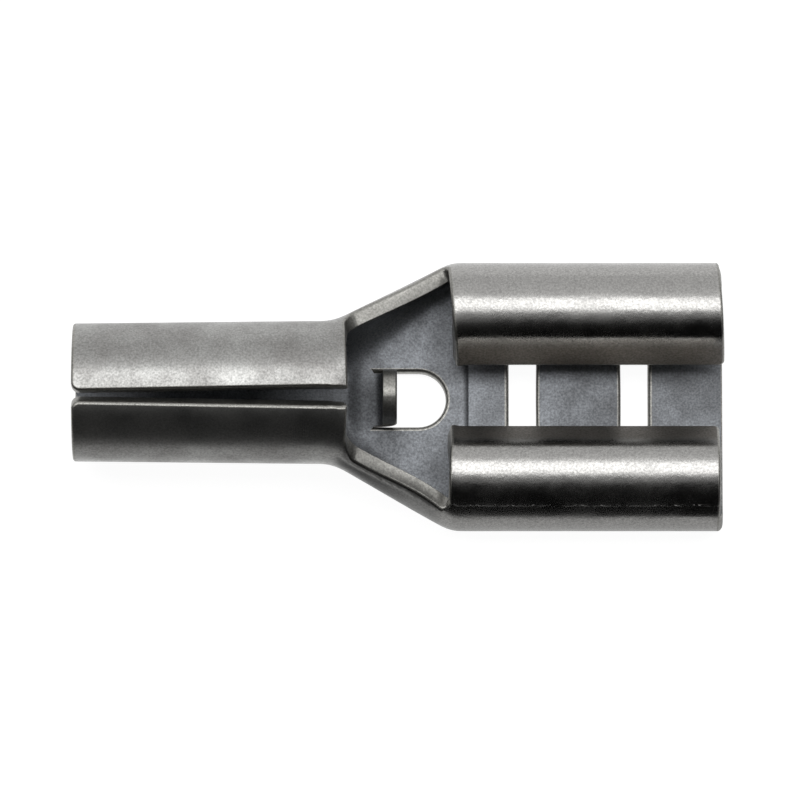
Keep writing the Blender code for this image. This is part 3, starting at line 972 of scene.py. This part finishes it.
@dataclass
class Terminal:
    """The folded terminal, made from its blank and given its finish."""

    fold: SheetFold = SheetFold()
    smooth_angle: float = math.radians(40)
    probe: float = 0.002 * MM  # how far to either side the folded sheet's run is felt
    slack: float = 1e-6  # how far from straight inwards the inner face may look
    level: float = 0.99  # faces that look more upwards or downwards than this are the strip's own
    least_outwards: float = 0.1  # a shading direction that looks less outwards isn't used
    break_slope: float = 0.35  # how far the left neck wall's sheared edge is out of square
    undercut_slope: float = 0.42  # the same on the right wall, whose outer corner is cut back
    seam_slope: float = 0.3  # the same on the right edge of the barrel's seam
    break_reach: float = 0.5 * MM
    burr_height: float = 0.03 * MM  # how far the right neck wall's burr stands up
    burr_slope: float = 0.5
    burnish_inside: float = 0.3  # how much of the rails' burnish their inner face takes
    # painted shade on the right neck wall, the dark reflection of the terminal's shadow on the table,
    # starts this far below the wall's edge
    shade_from_edge: float = 0.25 * MM
    shade_fade: float = 0.7  # how much of the painted shade is gone where the rails start
    edge_shade: float = 0.6  # how much of the painted shade lies on the sheared edge itself

    def flat_corners(self, mesh: bpy.types.Mesh, blank: Blank) -> tuple[np.ndarray, np.ndarray]:
        """Exact surface directions at the face corners of the flat blank.

        Args:
            mesh: The blank's mesh, before it is folded.
            blank: The blank's sizes.

        Returns:
            The direction at each face corner, and for each one whether its face is sheared.
        """
        shaded = Bench.read(mesh.corner_normals, "vector", 3)
        sizes = Bench.read(mesh.polygons, "loop_total", kind=int)
        own = np.repeat(Bench.read(mesh.polygons, "normal", 3), sizes, axis=0)
        verts = Bench.read(mesh.loops, "vertex_index", kind=int)
        x, s, height = Bench.read(mesh.vertices, "co", 3)[verts].T
        rims = blank.rims(x, s)
        turned_over = np.where(rims, -1.0, 1.0)
        roll = np.where(rims, blank.hole_roll, blank.roll)
        sheared = np.abs(own[:, 2]) < self.level
        usable = np.linalg.norm(shaded[:, :2], axis=1) > self.least_outwards
        outwards = np.where(usable[:, None], shaded[:, :2], own[:, :2])
        outwards /= np.maximum(np.linalg.norm(outwards, axis=1), TINY)[:, None]
        height = height * turned_over
        rolled = clamp((roll - self.fold.mid - height) / roll)
        burred = clamp((height - self.fold.mid + blank.burr) / blank.burr)
        tilt = (burred - rolled) * turned_over
        level = np.sqrt(np.maximum(1 - tilt * tilt, 0.0))
        side = np.column_stack([outwards * level[:, None], tilt])
        flat = np.zeros_like(own)
        flat[:, 2] = np.sign(own[:, 2])
        return np.where(sheared[:, None], side, flat), sheared

    def carry(
        self, x: np.ndarray, s: np.ndarray, h: np.ndarray, tongue: np.ndarray
    ) -> tuple[np.ndarray, ...]:
        """Carries places of the flat blank to where they lie once folded.

        Args:
            x: Stations along the terminal.
            s: Distances round the section.
            h: Heights inwards from the middle of the stock.
            tongue: Which places lie on the tongue.

        Returns:
            The points, and how the sheet runs there along, round and through.
        """
        fold = self.fold
        probe = self.probe
        along = (fold.middle(x + probe, s) - fold.middle(x - probe, s)) / (2 * probe)
        round_it = (fold.middle(x, s + probe) - fold.middle(x, s - probe)) / (2 * probe)
        through = np.cross(along, round_it)
        through /= np.linalg.norm(through, axis=1)[:, None]
        points = fold.middle(x, s) + through * h[:, None]
        radius = fold.tongue_bend_radius + fold.mid
        run = np.maximum(x - fold.x_tongue, 0.0)
        angle = np.minimum(run / radius, QUARTER)
        past_bend = np.maximum(run - radius * QUARTER, 0.0)
        floor = fold.middle(np.full_like(x, fold.x_tongue), s)[:, 2]
        ahead = fold.x_tongue + (radius - h) * np.sin(angle)
        high = floor + radius - (radius - h) * np.cos(angle) + past_bend
        bent = np.stack([ahead, s, high], axis=1)
        zero = np.zeros_like(x)
        bent_along = np.stack([np.cos(angle), zero, np.sin(angle)], axis=1)
        bent_round = np.stack([zero, np.ones_like(x), zero], axis=1)
        bent_through = np.stack([-np.sin(angle), zero, np.cos(angle)], axis=1)
        pick = tongue[:, None]
        return (
            np.where(pick, bent, points),
            np.where(pick, bent_along, along),
            np.where(pick, bent_round, round_it),
            np.where(pick, bent_through, through),
        )

    def shear_walls(
        self, blank: Blank, flat: np.ndarray, verts: np.ndarray, directions: np.ndarray
    ) -> None:
        """Slopes the sheared edges of the walls and the seam, and raises the right wall's burr.

        Args:
            blank: The blank's sizes.
            flat: The vertices' places on the blank, which are moved.
            verts: The vertex of each face corner.
            directions: The surface direction at each face corner, which is turned.
        """
        fold = self.fold
        near = blank.notch_front_radius
        neck = (fold.x_neck + near, fold.x_rail - near)
        barrel = (fold.x_rear, fold.x_neck)
        walls = [(side, neck, blank.wall_line(side)) for side in Side]
        seam = (Side.RIGHT, barrel, blank.seam_line(Side.RIGHT))
        for side, (start, end), line in (*walls, seam):
            x, s, h = flat.T
            edge = np.interp(x, *line)
            weight = ease(side.value * s, edge - self.break_reach, edge - blank.burr)
            weight = weight * ease(x, start - near, start) * (1 - ease(x, end, end + near))
            if side is Side.LEFT:
                slope = self.break_slope * weight
                move = slope * h
            elif end == fold.x_neck:
                slope = self.seam_slope * weight
                move = slope * (h - fold.mid)
            else:
                burr = ease(h, 0.0, fold.mid - blank.burr)
                slope = (self.undercut_slope + self.burr_slope * burr) * weight
                move = (self.undercut_slope * (h - fold.mid) + self.burr_height * burr) * weight
            flat[:, 1] += side.value * move
            directions[:, 2] -= slope[verts] * side.value * directions[:, 1]
        directions /= np.linalg.norm(directions, axis=1)[:, None]

    def mark(
        self,
        mesh: bpy.types.Mesh,
        blank: Blank,
        flat: np.ndarray,
        sheared: np.ndarray,
        inside: np.ndarray,
    ) -> None:
        """Stores on the mesh where the sheet was sheared, rubbed, scuffed, drawn and darkened by painted
        shade.

        Args:
            mesh: The blank's mesh.
            blank: The blank's sizes.
            flat: The vertices' places on the blank.
            sheared: For each face corner, whether its face is sheared.
            inside: For each face corner, whether its face is the strip's inner one.
        """
        fold = self.fold
        x, s, h = flat.T
        round_s = np.abs(s)
        rail = ease(x, fold.x_rail - fold.stock, fold.x_rail)
        curled = ease(round_s, fold.floor_half, fold.foot_end)
        lip = fold.lip_edge - fold.lip_length
        curled = curled * (1 - ease(round_s, lip, lip + fold.stock))
        burnished = rail * curled * np.where(h < 0, 1.0, self.burnish_inside)
        # The lips: rougher where scuffed, and darker and warmer as painted shade, since they face down
        # into the receptacle, with a painted reflection of the rails.
        scuffed_and_shaded = rail * ease(round_s, lip, lip + fold.stock)
        drawn = ease(round_s, fold.floor_half, fold.foot_end)
        # Painted shade on the right neck wall's outer face and on its sheared edge: the dark reflection of
        # the terminal's shadow on the table.
        edge = np.interp(x, *blank.wall_line(Side.RIGHT))
        painted_shade = ease(edge + s, self.shade_from_edge, 2 * self.shade_from_edge)
        painted_shade = painted_shade * ease(-s, fold.floor_half - fold.stock, fold.floor_half + fold.stock)
        painted_shade = painted_shade * ease(x, fold.x_neck - fold.stock, fold.x_neck)
        faded = self.shade_fade * ease(x, fold.x_neck + fold.stock, fold.x_rail - fold.stock)
        painted_shade = painted_shade * (1 - faded)
        rim = self.edge_shade * (edge + s < self.shade_from_edge) * (s < -fold.floor_half)
        rim = rim * (x > fold.x_neck) * (h < fold.mid - 2 * blank.burr)
        painted_shade = np.maximum(painted_shade * (h < 0), rim)
        painted_shade = painted_shade * (1 - ease(x, fold.x_rail - fold.stock, fold.x_rail))
        marks = (
            ("painted_shade", "POINT", painted_shade),
            ("burnished", "POINT", burnished),
            ("scuffed_and_shaded", "POINT", scuffed_and_shaded),
            ("drawn", "POINT", drawn),
            ("round_sheet", "POINT", s),
            ("sheared", "CORNER", sheared),
            ("inside", "CORNER", inside),
        )
        for name, domain, values in marks:
            layer = mesh.attributes.new(name, "FLOAT", domain)
            layer.data.foreach_set("value", values.astype(np.float32))
        verts = Bench.read(mesh.loops, "vertex_index", kind=int)
        layout = mesh.uv_layers.new(name="sheet")
        span = 2 * fold.lip_edge
        spots = np.column_stack([(x - fold.x_rear) / span, s / span + 0.5])[verts]
        layout.data.foreach_set("uv", spots.astype(np.float32).ravel())

    def build(self) -> bpy.types.Object:
        """Makes the blank and folds it.

        Returns:
            The folded sheet.
        """
        blank = Blank(self.fold)
        sheet = blank.make()
        Bench.take(sheet)
        bpy.ops.object.shade_smooth_by_angle(angle=self.smooth_angle)
        mesh = sheet.data
        while mesh.uv_layers:
            mesh.uv_layers.remove(mesh.uv_layers[0])
        flat = Bench.read(mesh.vertices, "co", 3)
        verts = Bench.read(mesh.loops, "vertex_index", kind=int)
        directions, sheared = self.flat_corners(mesh, blank)
        self.mark(mesh, blank, flat, sheared, directions[:, 2] > 1 - self.slack)
        self.shear_walls(blank, flat, verts, directions)
        x, s, h = flat.T
        folded, along, round_it, through = self.carry(x, s, h, blank.on_tongue(x, s))
        across = np.cross(round_it, through)[verts]
        aside = np.cross(through, along)[verts]
        area = np.linalg.norm(np.cross(along, round_it), axis=1)[verts]
        turned = across * directions[:, :1] + aside * directions[:, 1:2]
        turned += through[verts] * (area * directions[:, 2])[:, None]
        turned /= np.linalg.norm(turned, axis=1)[:, None]
        mesh.vertices.foreach_set("co", folded.astype(np.float32).ravel())
        mesh.update()
        mesh.normals_split_custom_set(turned.tolist())
        return sheet

    def dress(self, sheet: bpy.types.Object, finish: "TinPlateFinish") -> None:
        """Gives the folded sheet its finish and its place in the frame.

        Args:
            sheet: The folded sheet.
            finish: Its finish.
        """
        sheet.data.materials.clear()
        sheet.data.materials.append(finish.material())
        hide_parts("terminal")
        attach(sheet, "root")


def add_node(
    tree: Tree, kind: str, inputs: dict[int | str, object] | None = None, **settings: object
) -> bpy.types.Node:
    """Adds a shader node with its settings, values and links.

    Args:
        tree: The node tree.
        kind: The node's type.
        inputs: Input socket to a value, or to the output socket that feeds it.
        settings: Properties of the node itself.

    Returns:
        The node.
    """
    node = tree.nodes.new(kind)
    for name, value in settings.items():
        setattr(node, name, value)
    for socket, value in (inputs or {}).items():
        if isinstance(value, Socket):
            tree.links.new(value, node.inputs[socket])
        else:
            node.inputs[socket].default_value = value
    return node


@dataclass(frozen=True)
class TinPlateFinish:
    """Matt electroplated tin over rolled brass strip, rubbed by the folding tools.

    Tin plate is a soft grey metal with a satin bloom. The eye gets a cloudy grey with a fine
    speckle on the outside, bright burnished curls where the tools rubbed the rails, scuffed
    lips darkened and warmed by painted shade and a painted reflection of the rails, a fine broken
    line that the curling tool left along one rail, a duller and bluer grey inside, plain grey
    sheared edges, and painted shade on one wall of the neck for the dark reflection of the
    terminal's shadow on the table.
    """

    name: str = "satin_tin_plate"
    tin_dull: str = "#888785"
    tin_clean: str = "#9a9a98"
    tin_rubbed: str = "#9c9b99"
    # painted shade and a painted warm reflection of the rails, on the lips that face down into the
    # receptacle
    tin_lip_painted_shade: str = "#85817c"
    # painted shade: the dark reflection of the terminal's shadow on the table, on the right neck wall
    tin_painted_shade: str = "#393938"
    tin_inside_dull: str = "#77797c"
    tin_inside: str = "#86898d"
    thin_edge: str = "#8e8d89"
    cloud_size: float = 1.3 * MM
    cloud_span: tuple[float, float] = (0.36, 0.66)  # of the noise, from dull tin to clean tin
    fineness: float = 0.6  # how strong the finer swirls are in every pattern
    grain_size: float = 0.06 * MM  # real grain is finer, and is drawn as coarse as shows
    grain_depth: float = 0.0016 * MM
    speckle: float = 0.24
    speckle_span: tuple[float, float] = (0.3, 0.7)  # of the noise, from dark to bright grains
    ripple_size: float = 0.28 * MM
    ripple_depth: float = 0.0045 * MM
    dent_size: float = 1.1 * MM
    dent_depth: float = 0.01 * MM
    matt: float = 0.37
    matt_inside: float = 0.6
    matt_drawn: float = 0.36
    matt_edge: float = 0.42
    matt_scuffed: float = 0.42
    rubbed: float = 0.25
    cloud_matting: float = 0.05
    grain_matting: float = 0.03
    grain_matting_span: tuple[float, float] = (0.35, 0.65)
    tool_mark: float = -5.47 * MM  # how far round the sheet the curling tool left its line
    tool_mark_width: float = 0.06 * MM
    tool_mark_depth: float = 0.014 * MM
    tool_mark_gaps: tuple[float, float] = (0.4, 0.5)  # of the ripples, from worn to whole
    tool_mark_worn: float = 0.2  # how much of the line is left where it is worn

    def material(self) -> bpy.types.Material:
        """Builds the material.

        Returns:
            The material, ready to go on the sheet.
        """
        material = bpy.data.materials.new(self.name)
        material.use_nodes = True
        tree = material.node_tree
        shader = tree.nodes["Principled BSDF"]
        shader.inputs["Metallic"].default_value = 1.0
        marks = {}
        for mark in ("burnished", "scuffed_and_shaded", "painted_shade", "drawn", "sheared", "inside"):
            marks[mark] = add_node(tree, "ShaderNodeAttribute", attribute_name=mark).outputs["Fac"]
        patterns = self.patterns(tree)
        patterns["tool_mark"] = self.tool_line(tree, marks["burnished"], patterns["ripple"])
        tree.links.new(self.colour(tree, marks, patterns), shader.inputs["Base Color"])
        tree.links.new(self.mattness(tree, marks, patterns), shader.inputs["Roughness"])
        tree.links.new(self.relief(tree, patterns), shader.inputs["Normal"])
        return material

    def patterns(self, tree: Tree) -> dict[str, Socket]:
        """Lays the patterns that make the plating uneven.

        Args:
            tree: The node tree.

        Returns:
            The patterns by name.
        """
        place = add_node(tree, "ShaderNodeTexCoord").outputs["Object"]
        patterns = {}
        for name, size, detail in (
            ("cloud", self.cloud_size, 5.0),
            ("grain", self.grain_size, 2.0),
            ("ripple", self.ripple_size, 2.0),
            ("dent", self.dent_size, 1.0),
        ):
            inputs = {"Vector": place, "Scale": 1 / size, "Detail": detail, "Roughness": self.fineness}
            patterns[name] = add_node(tree, "ShaderNodeTexNoise", inputs).outputs["Fac"]
        patterns["cloud"] = self.remap(tree, patterns["cloud"], self.cloud_span, (0.0, 1.0))
        return patterns

    def colour(self, tree: Tree, marks: dict[str, Socket], patterns: dict[str, Socket]) -> Socket:
        """Mixes the colour of the plating.

        Args:
            tree: The node tree.
            marks: Where the sheet was rubbed, scuffed, drawn and sheared, where painted shade darkens it,
                and its inside.
            patterns: What makes the plating uneven.

        Returns:
            The colour.
        """
        cloud = patterns["cloud"]
        tin = self.blend(tree, cloud, self.tin_dull, self.tin_clean)
        inside = self.blend(tree, cloud, self.tin_inside_dull, self.tin_inside)
        # The lips' tone is painted shade with a painted warm reflection, and the neck wall's dark tone is
        # painted shade.
        for mark, second in (
            ("burnished", self.tin_rubbed),
            ("scuffed_and_shaded", self.tin_lip_painted_shade),
            ("inside", inside),
            ("sheared", self.thin_edge),
            ("painted_shade", self.tin_painted_shade),
        ):
            tin = self.blend(tree, marks[mark], tin, second)
        strength = (1 - self.speckle, 1 + self.speckle)
        speckle = self.remap(tree, patterns["grain"], self.speckle_span, strength)
        inputs = {0: tin, "Scale": speckle}
        return add_node(tree, "ShaderNodeVectorMath", inputs, operation="SCALE").outputs[0]

    def mattness(self, tree: Tree, marks: dict[str, Socket], patterns: dict[str, Socket]) -> Socket:
        """Works out how matt the plating is.

        Args:
            tree: The node tree.
            marks: Where the sheet was rubbed, scuffed, drawn and sheared, where painted shade darkens it,
                and its inside.
            patterns: What makes the plating uneven.

        Returns:
            The roughness.
        """
        matt = self.remap(tree, marks["burnished"], (0.0, 1.0), (self.matt, self.rubbed))
        inner = self.remap(tree, marks["drawn"], (0.0, 1.0), (self.matt_inside, self.matt_drawn))
        for mark, second in (
            ("scuffed_and_shaded", self.matt_scuffed),
            ("inside", inner),
            ("sheared", self.matt_edge),
        ):
            inputs = {0: marks[mark], NUMBER_A: matt, NUMBER_B: second}
            matt = add_node(tree, "ShaderNodeMix", inputs).outputs[0]
        for pattern, span, amount in (
            ("cloud", (0.0, 1.0), self.cloud_matting),
            ("grain", self.grain_matting_span, self.grain_matting),
        ):
            uneven = self.remap(tree, patterns[pattern], span, (amount, -amount))
            matt = self.reckon(tree, "ADD", matt, uneven)
        return matt

    def relief(self, tree: Tree, patterns: dict[str, Socket]) -> Socket:
        """Lays the dents, the ripples, the tool's line and the grain over each other.

        Args:
            tree: The node tree.
            patterns: Their heights, from 0 to 1.

        Returns:
            The surface direction.
        """
        bump = None
        for pattern, depth in (
            ("dent", self.dent_depth),
            ("ripple", self.ripple_depth),
            ("tool_mark", self.tool_mark_depth),
            ("grain", self.grain_depth),
        ):
            inputs = {"Height": patterns[pattern], "Distance": depth, "Strength": 1.0}
            if bump:
                inputs["Normal"] = bump
            bump = add_node(tree, "ShaderNodeBump", inputs).outputs["Normal"]
        return bump

    def tool_line(self, tree: Tree, burnished: Socket, broken: Socket) -> Socket:
        """Draws the fine broken ridge that the curling tool left along one rail.

        Args:
            tree: The node tree.
            burnished: Where the tools rubbed the rails.
            broken: The pattern that breaks the ridge up.

        Returns:
            The ridge's height, from 0 to 1.
        """
        spot = add_node(tree, "ShaderNodeAttribute", attribute_name="round_sheet").outputs["Fac"]
        apart = self.reckon(tree, "ABSOLUTE", self.reckon(tree, "SUBTRACT", spot, self.tool_mark))
        ridge = self.remap(tree, apart, (0.0, self.tool_mark_width), (1.0, 0.0))
        worn = self.remap(tree, broken, self.tool_mark_gaps, (self.tool_mark_worn, 1.0))
        for mask in (burnished, worn):
            ridge = self.reckon(tree, "MULTIPLY", ridge, mask)
        return ridge

    @staticmethod
    def reckon(tree: Tree, operation: str, first: Socket, second: Socket | float = 0.0) -> Socket:
        """Works two numbers into one."""
        return add_node(tree, "ShaderNodeMath", {0: first, 1: second}, operation=operation).outputs[0]

    @staticmethod
    def remap(tree: Tree, value: Socket, span: tuple[float, float], result: tuple[float, float]) -> Socket:
        """Stretches a value from one span to another, and stops at the ends.

        Args:
            tree: The node tree.
            value: The value.
            span: The ends that it comes in with.
            result: The ends that it leaves with.

        Returns:
            The stretched value.
        """
        inputs = {0: value, 1: span[0], 2: span[1], 3: result[0], 4: result[1]}
        return add_node(tree, "ShaderNodeMapRange", inputs).outputs["Result"]

    @staticmethod
    def blend(tree: Tree, share: Socket, first: Socket | str, second: Socket | str) -> Socket:
        """Blends two colours.

        Args:
            tree: The node tree.
            share: How much of the second one there is.
            first: The first colour, a socket or a hex colour.
            second: The second colour, a socket or a hex colour.

        Returns:
            The blended colour.
        """
        inputs = {0: share}
        for socket, colour in ((COLOUR_A, first), (COLOUR_B, second)):
            inputs[socket] = linear(colour) if isinstance(colour, str) else colour
        return add_node(tree, "ShaderNodeMix", inputs, data_type="RGBA").outputs[COLOUR_OUT]


@dataclass(frozen=True)
class StudioFinish:
    """A plain, even sheet of the studio, which may glow faintly."""

    name: str
    tone: str
    glow: float = 0.0
    matt: float = 0.9
    gleam: float = 0.5  # how strongly its surface reflects, as most plain materials do

    def material(self) -> bpy.types.Material:
        """Builds the material.

        Returns:
            The material, ready to go on a sheet of the studio.
        """
        material = bpy.data.materials.new(self.name)
        material.use_nodes = True
        shader = material.node_tree.nodes["Principled BSDF"]
        shader.inputs["Base Color"].default_value = linear(self.tone)
        shader.inputs["Roughness"].default_value = self.matt
        shader.inputs["Specular IOR Level"].default_value = self.gleam
        shader.inputs["Emission Color"].default_value = (1.0, 1.0, 1.0, 1.0)
        shader.inputs["Emission Strength"].default_value = self.glow
        return material


@dataclass(frozen=True)
class Softbox:
    """One long soft light, given by the angle that it covers as seen from the terminal."""

    name: str
    angle: float  # from straight above towards +Y, in degrees
    cover: float  # in degrees
    glow: float  # radiance
    away: float = 300 * MM
    length: float = 600 * MM

    def hang(self) -> None:
        """Adds the light to the scene."""
        light = bpy.data.lights.new(self.name, "AREA")
        light.shape = "RECTANGLE"
        light.size = self.length
        light.size_y = 2 * self.away * math.tan(math.radians(self.cover / 2))
        light.energy = self.glow * math.pi * light.size * light.size_y
        turn = math.radians(self.angle)
        lamp = bpy.data.objects.new(self.name, light)
        lamp.location = Vector((0, math.sin(turn), math.cos(turn))) * self.away
        lamp.rotation_euler = (-turn, 0, 0)
        bpy.context.scene.collection.objects.link(lamp)


@dataclass
class Studio:
    """The floor, the lights and the camera that the photograph calls for."""

    camera_tilt: float = math.radians(8)
    camera_away: float = 250 * MM
    camera_clip: float = 5 * MM
    target: Vector = field(default_factory=lambda: Vector((0.02, -0.087, 1.05)) * MM)
    view_width: float = 800 / 34.4 * MM  # the photograph's 800 pixels, at 34.4 of them per millimetre
    sensor: float = 36.0
    floor_size: float = 600 * MM
    floor_drop: float = 0.01 * MM
    room_tone: float = 0.01
    lights: tuple[Softbox, ...] = (
        Softbox("key_softbox", angle=16.5, cover=27, glow=2.35),
        Softbox("wide_softbox", angle=31, cover=62, glow=0.95, away=320 * MM),
        Softbox("side_softbox", angle=76, cover=28, glow=0.9, away=340 * MM),
        Softbox("spill_softbox", angle=-8, cover=16, glow=0.25, away=360 * MM),
    )
    card_near: float = 3.2 * MM
    flag_near: float = 13.0 * MM
    flag_height: float = 40 * MM
    flag_length: float = 200 * MM
    # A bright, even ground, like a light table, that hardly takes a shadow.
    table: StudioFinish = StudioFinish("white_table_acrylic", "#6c6c6c", glow=0.95)
    # Painted shade: a mid grey card that stands in for the terminal's shadow on the table, for the lower
    # flanks of the metal to reflect.
    shadow_card: StudioFinish = StudioFinish("table_shadow_card", "#3c3c3c", glow=0.6)
    # As good as no light at all.
    velvet: StudioFinish = StudioFinish("black_velvet", "#0a0a0a", matt=1.0, gleam=0.0)

    def place_camera(self) -> None:
        """Sets the camera above the terminal, tilted as in the photograph."""
        lens = bpy.data.cameras.new("camera")
        lens.sensor_width = self.sensor
        lens.lens = self.sensor * self.camera_away / self.view_width
        lens.clip_start = self.camera_clip
        camera = bpy.data.objects.new("camera", lens)
        back = Vector((0, -math.sin(self.camera_tilt), math.cos(self.camera_tilt)))
        camera.location = self.target + back * self.camera_away
        camera.rotation_euler = (self.camera_tilt, 0, 0)
        bpy.context.scene.collection.objects.link(camera)
        bpy.context.scene.camera = camera

    @staticmethod
    def put_sheet(
        name: str, size: tuple[float, float], place: Vector, turn: float, finish: StudioFinish
    ) -> bpy.types.Object:
        """Puts up a flat sheet.

        Args:
            name: Name of the sheet.
            size: Its length along X and its width.
            place: Its middle.
            turn: How far it is turned up about X.
            finish: Its finish.

        Returns:
            The sheet.
        """
        Bench.clear()
        bpy.ops.mesh.primitive_plane_add(size=1, location=place, rotation=(turn, 0, 0))
        sheet = bpy.context.object
        sheet.name = name
        sheet.scale = (*size, 1)
        sheet.data.materials.append(finish.material())
        return sheet

    def lay_floor(self) -> None:
        """Lays the plain floor just under the terminal."""
        size = (self.floor_size, self.floor_size)
        self.put_sheet("floor", size, Vector((0, 0, -self.floor_drop)), 0.0, self.table)

    def lay_card(self) -> None:
        """Lays a grey card on the table beside the terminal, painted shade for the terminal's shadow
        there, which only the metal's reflections show.
        """
        size = (self.flag_length, self.flag_near - self.card_near)
        place = Vector((0, -(self.flag_near + self.card_near) / 2, 0))
        self.hide_but_reflected(self.put_sheet("table_shadow_card", size, place, 0.0, self.shadow_card))

    def stand_flag(self) -> None:
        """Stands a black flag beside the terminal, which only the metal's reflections show."""
        size = (self.flag_length, self.flag_height)
        place = Vector((0, -self.flag_near, self.flag_height / 2))
        self.hide_but_reflected(self.put_sheet("black_flag", size, place, QUARTER, self.velvet))

    @staticmethod
    def hide_but_reflected(sheet: bpy.types.Object) -> None:
        """Stages a sheet so that only reflections show it.

        Args:
            sheet: The sheet.
        """
        sheet.visible_camera = False
        sheet.visible_diffuse = False
        sheet.visible_shadow = False

    def darken_room(self) -> None:
        """Sets the dim room round the lights."""
        world = bpy.data.worlds.new("dim_room")
        world.use_nodes = True
        tone = self.room_tone
        world.node_tree.nodes["Background"].inputs["Color"].default_value = (tone, tone, tone, 1.0)
        bpy.context.scene.world = world
        bpy.context.scene.view_settings.view_transform = "Standard"

    def set_up(self) -> None:
        """Builds the whole studio."""
        self.place_camera()
        self.lay_floor()
        self.lay_card()
        self.stand_flag()
        self.darken_room()
        for light in self.lights:
            light.hang()


def report(piece: bpy.types.Object) -> None:
    """Logs a finished piece's name, triangles and size.

    Args:
        piece: The piece.
    """
    triangles = sum(len(face.vertices) - 2 for face in piece.data.polygons)
    size = ", ".join(f"{value / MM:.2f}" for value in piece.dimensions)
    LOG.info("%s: %d triangles, %s mm", piece.name, triangles, size)


def main() -> None:
    """Builds the terminal and the studio."""
    logging.basicConfig(level=logging.INFO, format="%(message)s")
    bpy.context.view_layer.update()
    Studio().set_up()
    terminal = Terminal()
    sheet = terminal.build()
    terminal.dress(sheet, TinPlateFinish())
    report(sheet)


if __name__ == "__main__":
    main()
